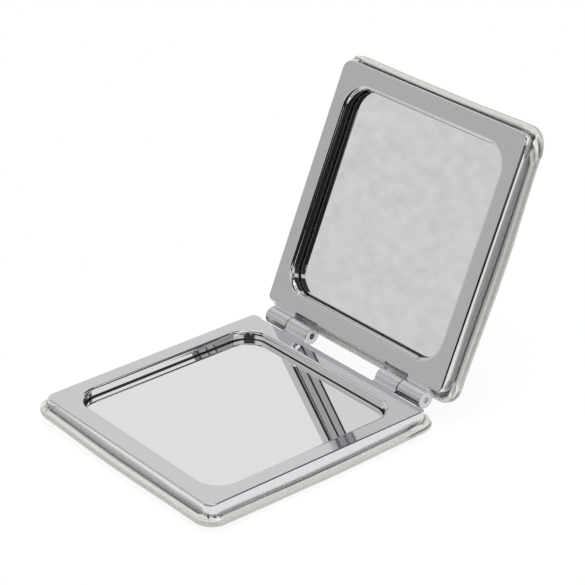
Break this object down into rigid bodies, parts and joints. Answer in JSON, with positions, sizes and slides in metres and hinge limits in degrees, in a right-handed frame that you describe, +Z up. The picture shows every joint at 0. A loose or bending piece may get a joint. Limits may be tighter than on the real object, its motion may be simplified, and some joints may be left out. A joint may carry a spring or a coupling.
{
  "type": "compact mirror",
  "caption": "Square folding compact mirror: chromed frames with recessed mirrors and padded silver-grey leatherette covers, joined by barrel hinges so the lid folds shut or lies flat.",
  "frame": {"origin": "middle of the base's underside, where it rests on a table", "axes": "+X along the hinge line, +Y from the front edge towards the hinge, +Z up out of the base"},
  "size_m": [0.066, 0.0985, 0.0654],
  "materials": {
    "chrome": "bright chrome plate, satin on the flat face",
    "mirror": "silvered mirror",
    "leatherette": "fine-grained metallic silver-grey leatherette",
    "foam": "thin soft foam",
    "board": "grey board",
    "tape": "double-sided tape",
    "magnet": "nickel-plated",
    "pin_steel": "drawn steel"
  },
  "bodies": {
    "base": {"base_frame": "chrome", "base_mirror": "mirror", "base_mirror_tape": "tape", "base_cover": "leatherette", "base_foam_pad": "foam", "base_backing_board": "board", "base_cover_tape": "tape", "base_left_magnet": "magnet", "base_right_magnet": "magnet"},
    "lid": {"lid_frame": "chrome", "lid_mirror": "mirror", "lid_mirror_tape": "tape", "lid_cover": "leatherette", "lid_foam_pad": "foam", "lid_backing_board": "board", "lid_cover_tape": "tape", "lid_left_magnet": "magnet", "lid_right_magnet": "magnet", "left_hinge_pin": "pin_steel", "right_hinge_pin": "pin_steel"}
  },
  "joints": [
    {"name": "lid_hinge", "type": "hinge", "parent": "base", "child": "lid", "pos_m": [0, 0.0338, 0.00601], "axis": [-1, 0, 0], "range_deg": [-114.2, 65.8]}
  ]
}
